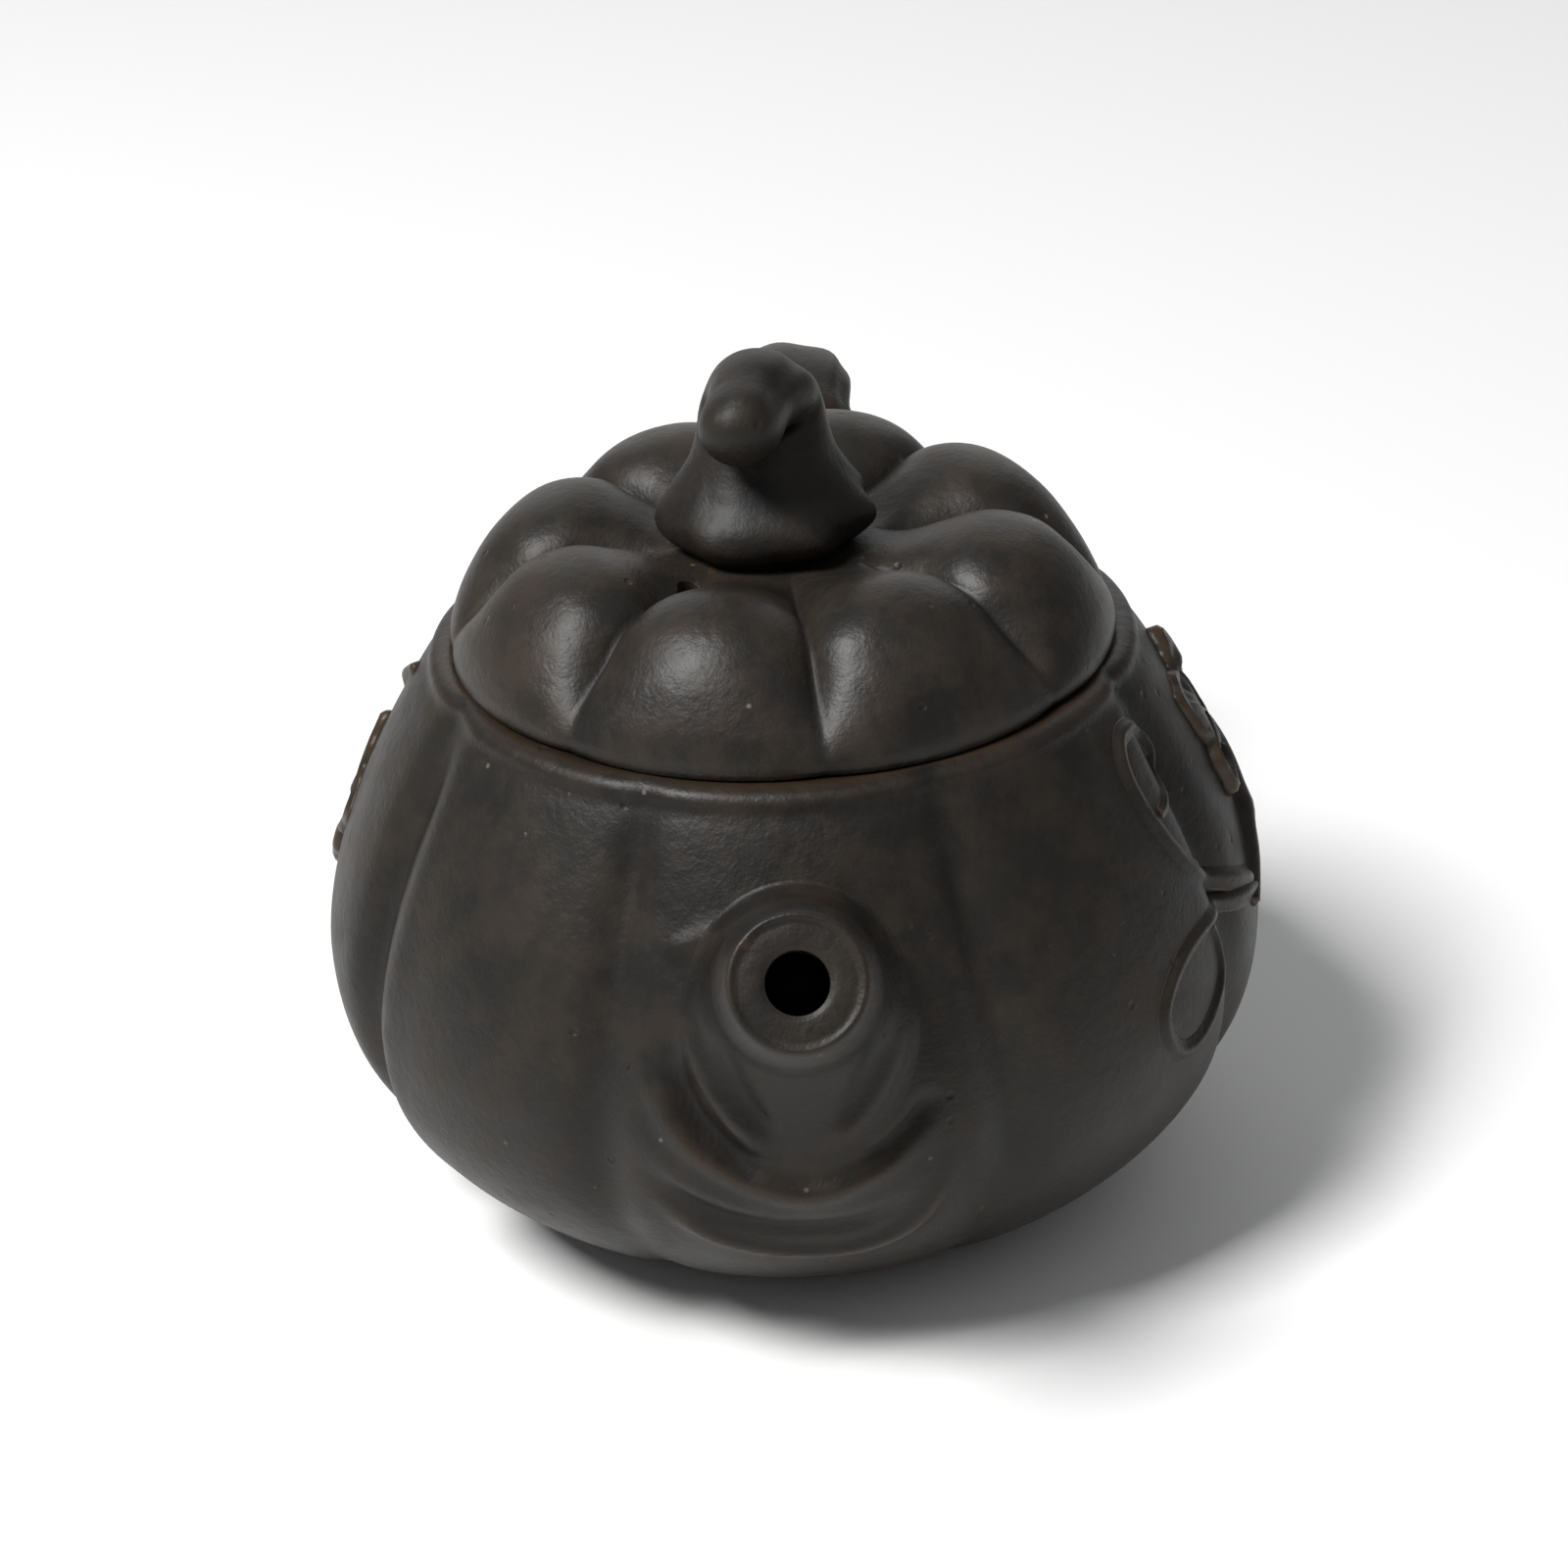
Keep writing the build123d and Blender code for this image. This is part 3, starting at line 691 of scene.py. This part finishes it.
class TEAPOT_OT_handle(bpy.types.Operator):
    """Builds the branch-shaped loop handle"""

    bl_idname = "teapot.handle"
    bl_label = "Handle"

    def execute(self, context):
        sizes = context.scene.teapot_sizes
        stations = [  # x, y, z, half width, half thickness
            (0.3, 47.0, 62.0, 7.2, 5.2), (1.0, 54.5, 67.8, 7.8, 4.8), (1.8, 64.5, 71.2, 8.2, 4.6),
            (1.8, 73.6, 67.6, 7.6, 4.5), (1.2, 78.4, 57.6, 6.8, 4.4), (0.6, 78.6, 46.0, 6.2, 4.3),
            (0.2, 74.6, 36.5, 5.9, 4.4), (0, 66.0, 28.6, 5.8, 4.7), (0, 57.5, 24.6, 6.0, 5.2),
        ]
        path = smooth_line([(x, y, z) for x, y, z, _, _ in stations], 8)
        girth = smooth_line([(w, t, 0) for _, _, _, w, t in stations], 8)
        last = len(path) - 1
        upper_root, lower_root = 57.5, 22.5
        knots = ((0.16, 0.10, 0.02), (0.62, 0.13, 0.022))

        def root(turn, z, way, grow):
            """The outline of a root on the wall; way is -1 where the branch comes back to the wall."""
            wide, tall = 7.4 * grow, 6.4 * grow
            side = wide * cos(turn) / MM_PER_DEGREE
            return on_wall(HANDLE_SIDE - side, z + way * tall * sin(turn), sizes, -0.7)

        def place(k, turn):
            if k == 0 or k == last + 4:
                return on_wall(HANDLE_SIDE, upper_root if k == 0 else lower_root, sizes, -1.4)
            if k == 1:
                return root(turn, upper_root, 1, 1.12)
            if k == last + 3:
                return root(turn, lower_root, -1, 1.05)
            k -= 2
            run = (path[min(k + 1, last)] - path[max(k - 1, 0)]).normalized()
            tall = Vector((0, -run.z, run.y)).normalized()
            along = k / last
            wide, thick = girth[k].x, girth[k].y
            knot = sum(size * exp(-(((along - at) / spread) ** 2)) for at, size, spread in knots)
            rib = 1 + 0.035 * cos(7 * turn + 2.5 * along) * eased(0, 0.2, along)
            grow = rib * (1 + knot + 0.09 * (1 - eased(0, 0.1, along)) + 0.1 * eased(0.9, 1, along))
            return path[k] + Vector((wide * grow * cos(turn), 0, 0)) + tall * thick * grow * sin(turn)

        bm = skinned(last + 5, 56, place)
        make_piece("branch_handle", bm, "pot", clay("relief_clay"), ("handle",))
        return {"FINISHED"}


class TEAPOT_OT_vines(bpy.types.Operator):
    """Builds the vines and the tendrils that curl on the pot's sides"""

    bl_idname = "teapot.vines"
    bl_label = "Vines and Tendrils"

    def execute(self, context):
        sizes = context.scene.teapot_sizes
        vine_knots = ((0.3, 0.28), (0.62, 0.3))
        right = [(78.0, 35.6), (81.0, 38.8), (86.0, 43.0), (97.0, 47.0), (115.0, 49.0), (136.0, 52.5),
                 (158.0, 55.0), (172.0, 56.0)]
        left = [(-95.0, 63.0), (-102.0, 59.4), (-113.0, 55.8), (-132.0, 53.8), (-156.0, 55.2), (-171.0, 56.2)]
        for name, line, share in (("vine_right", right, 1.0), ("vine_left", left, 0.82)):
            bm = wall_roll(line, sizes.vine_radius * share, sizes, 0.55, 0.9, vine_knots, 0.35)
            make_piece(name + "_roll", bm, "pot", clay("relief_clay"), (name,))
        tendrils = {
            "tendril_right_upper": [
                (77.5, 39.0), (70.8, 42.3), (65.0, 45.0), (60.4, 49.0), (57.6, 54.0), (56.4, 58.2),
                (57.2, 61.4), (60.0, 63.2), (64.3, 62.8), (68.0, 60.6), (68.8, 58.0), (66.0, 55.8),
                (62.2, 54.8), (60.0, 54.6),
            ],
            "tendril_right_lower": [
                (79.5, 37.2), (74.0, 38.6), (67.5, 40.4), (61.0, 41.4), (55.0, 41.2), (50.4, 39.4),
                (47.6, 36.2), (48.2, 32.6), (51.0, 30.3), (55.0, 30.3), (59.0, 32.4), (61.7, 35.0),
                (62.4, 38.4), (61.8, 40.6),
            ],
            "tendril_left": [
                (-111.0, 55.0), (-111.5, 47.6), (-107.5, 42.8), (-103.5, 38.5), (-103.5, 32.6),
                (-108.5, 30.6), (-113.5, 33.3), (-112.0, 37.4), (-109.0, 37.0),
            ],
        }
        for name, line in tendrils.items():
            bm = wall_roll(line, sizes.tendril_radius, sizes, 1.35, 0.6)
            make_piece(name + "_roll", bm, "pot", clay("relief_clay"), (name,))
        return {"FINISHED"}


class TEAPOT_OT_leaves(bpy.types.Operator):
    """Builds the two lobed leaves on the pot's sides"""

    bl_idname = "teapot.leaves"
    bl_label = "Leaves"

    def execute(self, context):
        sizes = context.scene.teapot_sizes
        right = wall_leaf(93.0, 53.0, sizes, lean=20.0, length=18.0, width=18.0, curl=0.9)
        left = wall_leaf(-101.0, 46.0, sizes, lean=160.0, length=18.0, width=16.0, curl=0.3, flip=-1)
        for name, bm in (("leaf_right", right), ("leaf_left", left)):
            make_piece(name + "_veined", bm, "pot", clay("relief_clay"), (name,))
        return {"FINISHED"}


class TEAPOT_OT_lid(bpy.types.Operator):
    """Builds the ribbed dome of the lid with its air hole"""

    bl_idname = "teapot.lid"
    bl_label = "Lid Dome"

    def execute(self, context):
        sizes = context.scene.teapot_sizes
        rib = [  # radius and height over the seat, along the crest
            (0, 10.9), (6, 11.0), (11, 11.2), (14.5, 12.1), (19, 13.9), (24, 15.1), (29.5, 13.8),
            (33.8, 10.1), (36.6, 5.9), (37.9, 2.7), (38.1, 1.0), (37.9, 0.15),
        ]
        under = [
            (34.3, 0.03), (31.45, 0.03), (31.2, 1.2), (29.4, 4.4), (25, 6.2), (18, 7.2), (9, 7.5), (0, 7.5),
        ]
        crest = smooth_line([(radius, z, 0) for radius, z in rib], 8)
        groove_angle, raised_side, raised = 6.0, 172.0, 0.7

        def place(k, turn):
            angle = degrees(turn) + 90
            if k >= len(crest):
                radius, z = under[k - len(crest)]
                return around(radius, angle, LID_SEAT + z)
            radius, z = crest[k].x, crest[k].y
            run = crest[min(k + 1, len(crest) - 1)] - crest[max(k - 1, 0)]
            normal = Vector((-run.y, run.x)).normalized()
            off_crest = abs((angle - groove_angle) % RIB_PITCH - RIB_PITCH / 2) / (RIB_PITCH / 2)
            puff = (1 - sqrt(1 - 0.9 * off_crest**2.2)) / (1 - sqrt(0.1))
            depth = sizes.lid_groove_depth * eased(10.0, 20.0, radius)
            depth *= 0.12 + 0.88 * eased(0.4, 11.8, z)
            uneven = raised * eased(12, 22, radius) * eased(1, 9, z)
            uneven *= max(0, cos(radians(angle - raised_side))) ** 2
            sink = depth * puff - uneven
            return around(radius - normal.x * sink, angle, LID_SEAT + z - normal.y * sink)

        bm = skinned(len(crest) + len(under), sizes.lathe_steps, place)
        lid = make_piece("lid_crown", bm, "lid", clay("lid_clay_painted_lighter"), ("lid_dome",))
        self.drill(lid, around(15.7, -39.0, LID_SEAT + 10.0))
        return {"FINISHED"}

    @staticmethod
    def drill(lid, place):
        """Cuts the air hole straight down through the dome."""
        lower, upper, depth = 1.3 * MM, 1.55 * MM, 14 * MM
        bm = bmesh.new()
        bmesh.ops.create_cone(bm, cap_ends=True, segments=24, radius1=lower, radius2=upper, depth=depth)
        bmesh.ops.translate(bm, verts=bm.verts, vec=place * MM)
        mesh = bpy.data.meshes.new("air_hole")
        bm.to_mesh(mesh)
        bm.free()
        drill = bpy.data.objects.new("air_hole", mesh)
        bpy.context.scene.collection.objects.link(drill)
        cut = lid.modifiers.new("air_hole", "BOOLEAN")
        cut.operation = "DIFFERENCE"
        cut.solver = "EXACT"
        cut.object = drill
        bpy.context.view_layer.update()
        done = bpy.data.meshes.new_from_object(lid.evaluated_get(bpy.context.evaluated_depsgraph_get()))
        lid.modifiers.clear()
        done.name = lid.data.name
        lid.data = done
        bpy.data.objects.remove(drill)


class TEAPOT_OT_knob(bpy.types.Operator):
    """Builds the knob: a stalk with a spread, fluted foot that curls over at its top"""

    bl_idname = "teapot.knob"
    bl_label = "Stalk Knob"

    def execute(self, context):
        # Each station: x, y, height over the seat, half width, half depth, lean towards the spout in degrees
        foot = [
            (-1.3, 0.7, -0.35, 9.6, 9.4, 0), (-1.3, 0.7, 0.5, 10.2, 10.0, 0), (-1.3, 0.7, 1.5, 11.4, 11.2, 0),
            (-1.3, 0.7, 2.7, 11.9, 11.8, 0), (-1.3, 0.7, 4.0, 11.9, 11.7, 0), (-1.3, 0.7, 5.3, 11.3, 11.0, 0),
        ]
        stalk = [
            (-1.2, 0.8, 7.2, 9.9, 9.4, 0), (-1.2, 1.0, 9.8, 8.3, 7.8, 0), (-1.2, 1.2, 12.4, 7.5, 6.8, 3),
            (-1.3, 1.3, 14.9, 7.0, 6.0, 14), (-1.2, 1.0, 16.9, 6.3, 5.2, 38),
            (-1.3, -0.8, 17.8, 5.8, 4.8, 66),
        ]
        curl = [
            (-1.9, -3.2, 18.0, 5.2, 4.6, 88), (-2.7, -5.2, 17.6, 4.8, 4.5, 100),
            (-3.2, -7.0, 17.3, 4.8, 4.6, 104), (-3.5, -9.0, 17.0, 4.6, 4.6, 104),
            (-3.7, -10.8, 16.7, 4.0, 4.0, 104),
            (-3.8, -12.2, 16.4, 2.8, 2.8, 104), (-3.9, -12.9, 16.25, 1.4, 1.4, 104),
            (-3.9, -13.1, 16.2, 0.0, 0.0, 104),
        ]
        stations = foot + stalk + curl
        middle = smooth_line([(x, y, h) for x, y, h, _, _, _ in stations], 4)
        size = smooth_line([(w, d, lean) for _, _, _, w, d, lean in stations], 4)
        last = len(middle) - 1

        def foot_growth(height, turn):
            """Toes and flutes of the upright part, and one ridge down its front."""
            spread = exp(-(((height - 3.0) / 2.4) ** 2))
            twist = turn + 0.045 * height
            toes = 0.035 * cos(7 * twist + 0.7) * (1 + 0.6 * cos(2 * twist)) + 0.012 * cos(13 * twist)
            flutes = 0.03 * (1 - eased(3, 17, height)) * (abs(cos(4 * twist + 0.9)) - 0.6)
            ridge = 0.05 * exp(-(((twist + 2.15) / 0.16) ** 2)) * (1 - eased(4, 15, height))
            return 1 + toes * spread + flutes + ridge

        def curl_growth(k, lean, turn):
            """Pinches of the part that curls over, and the furrow on its side."""
            pinches = 0.025 * cos(3 * turn + 0.15 * k) * (1 - eased(last - 14, last - 4, k))
            furrow = 0.09 * exp(-(((turn - 0.75) / 0.3) ** 2))
            return 1 + pinches - furrow * eased(0.3, 1.0, lean) * (1 - eased(last - 20, last - 8, k))

        def place(k, turn):
            if k == 0:
                return Vector((middle[0].x, middle[0].y, KNOB_SEAT - 0.4))
            k -= 1
            height, lean = middle[k].z, radians(size[k].z)
            wide = Vector((1, 0, 0)) * size[k].x
            deep = Vector((0, cos(lean), sin(lean))) * size[k].y
            grow = foot_growth(height, turn) if lean < 0.1 else curl_growth(k, lean, turn)
            return middle[k] + Vector((0, 0, KNOB_SEAT)) + (wide * cos(turn) + deep * sin(turn)) * grow

        bm = skinned(last + 2, 88, place)
        curl_start = KNOB_SEAT + 11
        for _ in range(2):
            bmesh.ops.smooth_vert(
                bm, verts=[v for v in bm.verts if v.co.z > curl_start], factor=0.4,
                use_axis_x=True, use_axis_y=True, use_axis_z=True,
            )
        make_piece("stalk_knob", bm, "lid", clay("rubbed_knob_clay"), ("knob",))
        return {"FINISHED"}


class TEAPOT_OT_fittings(bpy.types.Operator):
    """Gives the inner and lower members of the pot and the lid's flange their clay"""

    bl_idname = "teapot.fittings"
    bl_label = "Inner Members"

    def execute(self, context):
        finishes = {
            "base_disc": "bare_clay",
            "foot_ring": "bare_clay",
            "strainer": "bare_clay",
            "mouth_ring": "trued_rim_clay",
            "lid_flange": "trued_rim_clay",
        }
        for name, finish in finishes.items():
            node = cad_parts[name]
            node.data.materials.clear()
            node.data.materials.append(clay(finish))
        return {"FINISHED"}


class TEAPOT_OT_stage(bpy.types.Operator):
    """Sets the floor, the lights and the camera"""

    bl_idname = "teapot.stage"
    bl_label = "Floor, Lights and Camera"

    def execute(self, context):
        self.floor(context.scene)
        self.lights(context.scene)
        self.camera(context.scene)
        return {"FINISHED"}

    @staticmethod
    def floor(scene):
        """A plain pale floor, far wider than the pot."""
        bm = bmesh.new()
        bmesh.ops.create_grid(bm, x_segments=8, y_segments=8, size=6.0)
        mesh = bpy.data.meshes.new("floor")
        bm.to_mesh(mesh)
        bm.free()
        floor = bpy.data.objects.new("floor", mesh)
        scene.collection.objects.link(floor)
        paint = bpy.data.materials.new("floor_paint")
        paint.use_nodes = True
        shader = paint.node_tree.nodes["Principled BSDF"]
        shader.inputs["Base Color"].default_value = [*scene.teapot_colours.floor, 1]
        shader.inputs["Roughness"].default_value = 0.9
        mesh.materials.append(paint)

    @staticmethod
    def lights(scene):
        """Soft light from the front left, a weak fill from the right, and a wide light behind."""
        world = bpy.data.worlds.new("studio")
        world.use_nodes = True
        scene.world = world
        background = world.node_tree.nodes["Background"]
        background.inputs["Color"].default_value = (0.95, 0.97, 1.0, 1)
        background.inputs["Strength"].default_value = 0.17
        scene.view_settings.view_transform = "Standard"
        pot_middle = Vector((0, 0, 0.06))
        for name, place, size, power in (
            ("key_light", (-0.62, -0.4, 1.1), 0.42, 21.0),
            ("fill_light", (0.7, -0.5, 1.2), 0.9, 1.2),
            ("back_light", (0.0, 2.0, 0.8), 2.4, 15.5),
        ):
            light = bpy.data.lights.new(name, "AREA")
            light.shape = "SQUARE"
            light.size = size
            light.energy = power
            lamp = bpy.data.objects.new(name, light)
            scene.collection.objects.link(lamp)
            lamp.location = place
            lamp.rotation_mode = "QUATERNION"
            lamp.rotation_quaternion = (Vector(place) - pot_middle).to_track_quat("Z", "Y")

    @staticmethod
    def camera(scene):
        """A camera in front of the spout, looking down on the pot and tilted a little to one side."""
        sensor, lens, shift_right, shift_up = 36.0, 87.48, -0.004625, 0.036
        distance, rise, roll, target = 0.45, radians(29.06), radians(2.51), Vector((0, 0, 0.04))
        camera = bpy.data.cameras.new("camera")
        camera.sensor_width = sensor
        camera.lens = lens
        camera.shift_x = shift_right
        camera.shift_y = shift_up
        camera.clip_start = 0.01
        eye = bpy.data.objects.new("camera", camera)
        scene.collection.objects.link(eye)
        back = Vector((0, -cos(rise), sin(rise)))
        right, up = Vector((1, 0, 0)), Vector((0, sin(rise), cos(rise)))
        tilted_right = right * cos(roll) - up * sin(roll)
        tilted_up = right * sin(roll) + up * cos(roll)
        turned = Matrix((tilted_right, tilted_up, back)).transposed().to_4x4()
        eye.matrix_world = Matrix.Translation(target + back * distance) @ turned
        scene.camera = eye


class TEAPOT_PT_panel(bpy.types.Panel):
    """Lists the teapot's pieces, sizes and colours"""

    bl_label = "Ribbed Clay Teapot"
    bl_idname = "TEAPOT_PT_panel"
    bl_space_type = "VIEW_3D"
    bl_region_type = "UI"
    bl_category = "Teapot"

    def draw(self, context):
        """Shows a button for each operator and a field for each size and colour."""
        for operator in OPERATORS:
            self.layout.operator(operator.bl_idname)
        for group in (context.scene.teapot_sizes, context.scene.teapot_colours):
            for name in group.__annotations__:
                self.layout.prop(group, name)


OPERATORS = (
    TEAPOT_OT_stage,
    TEAPOT_OT_wall,
    TEAPOT_OT_spout,
    TEAPOT_OT_handle,
    TEAPOT_OT_vines,
    TEAPOT_OT_leaves,
    TEAPOT_OT_lid,
    TEAPOT_OT_knob,
    TEAPOT_OT_fittings,
)


def register():
    """Adds the teapot's classes and settings to Blender."""
    for cls in (TeapotSizes, TeapotColours, *OPERATORS, TEAPOT_PT_panel):
        bpy.utils.register_class(cls)
    bpy.types.Scene.teapot_sizes = PointerProperty(type=TeapotSizes)
    bpy.types.Scene.teapot_colours = PointerProperty(type=TeapotColours)


def unregister():
    """Takes them out again."""
    del bpy.types.Scene.teapot_colours
    del bpy.types.Scene.teapot_sizes
    for cls in reversed((TeapotSizes, TeapotColours, *OPERATORS, TEAPOT_PT_panel)):
        bpy.utils.unregister_class(cls)


def main():
    """Builds the whole teapot."""
    register()
    for operator in OPERATORS:
        group, name = operator.bl_idname.split(".")
        getattr(getattr(bpy.ops, group), name)()


if __name__ == "__main__":
    main()
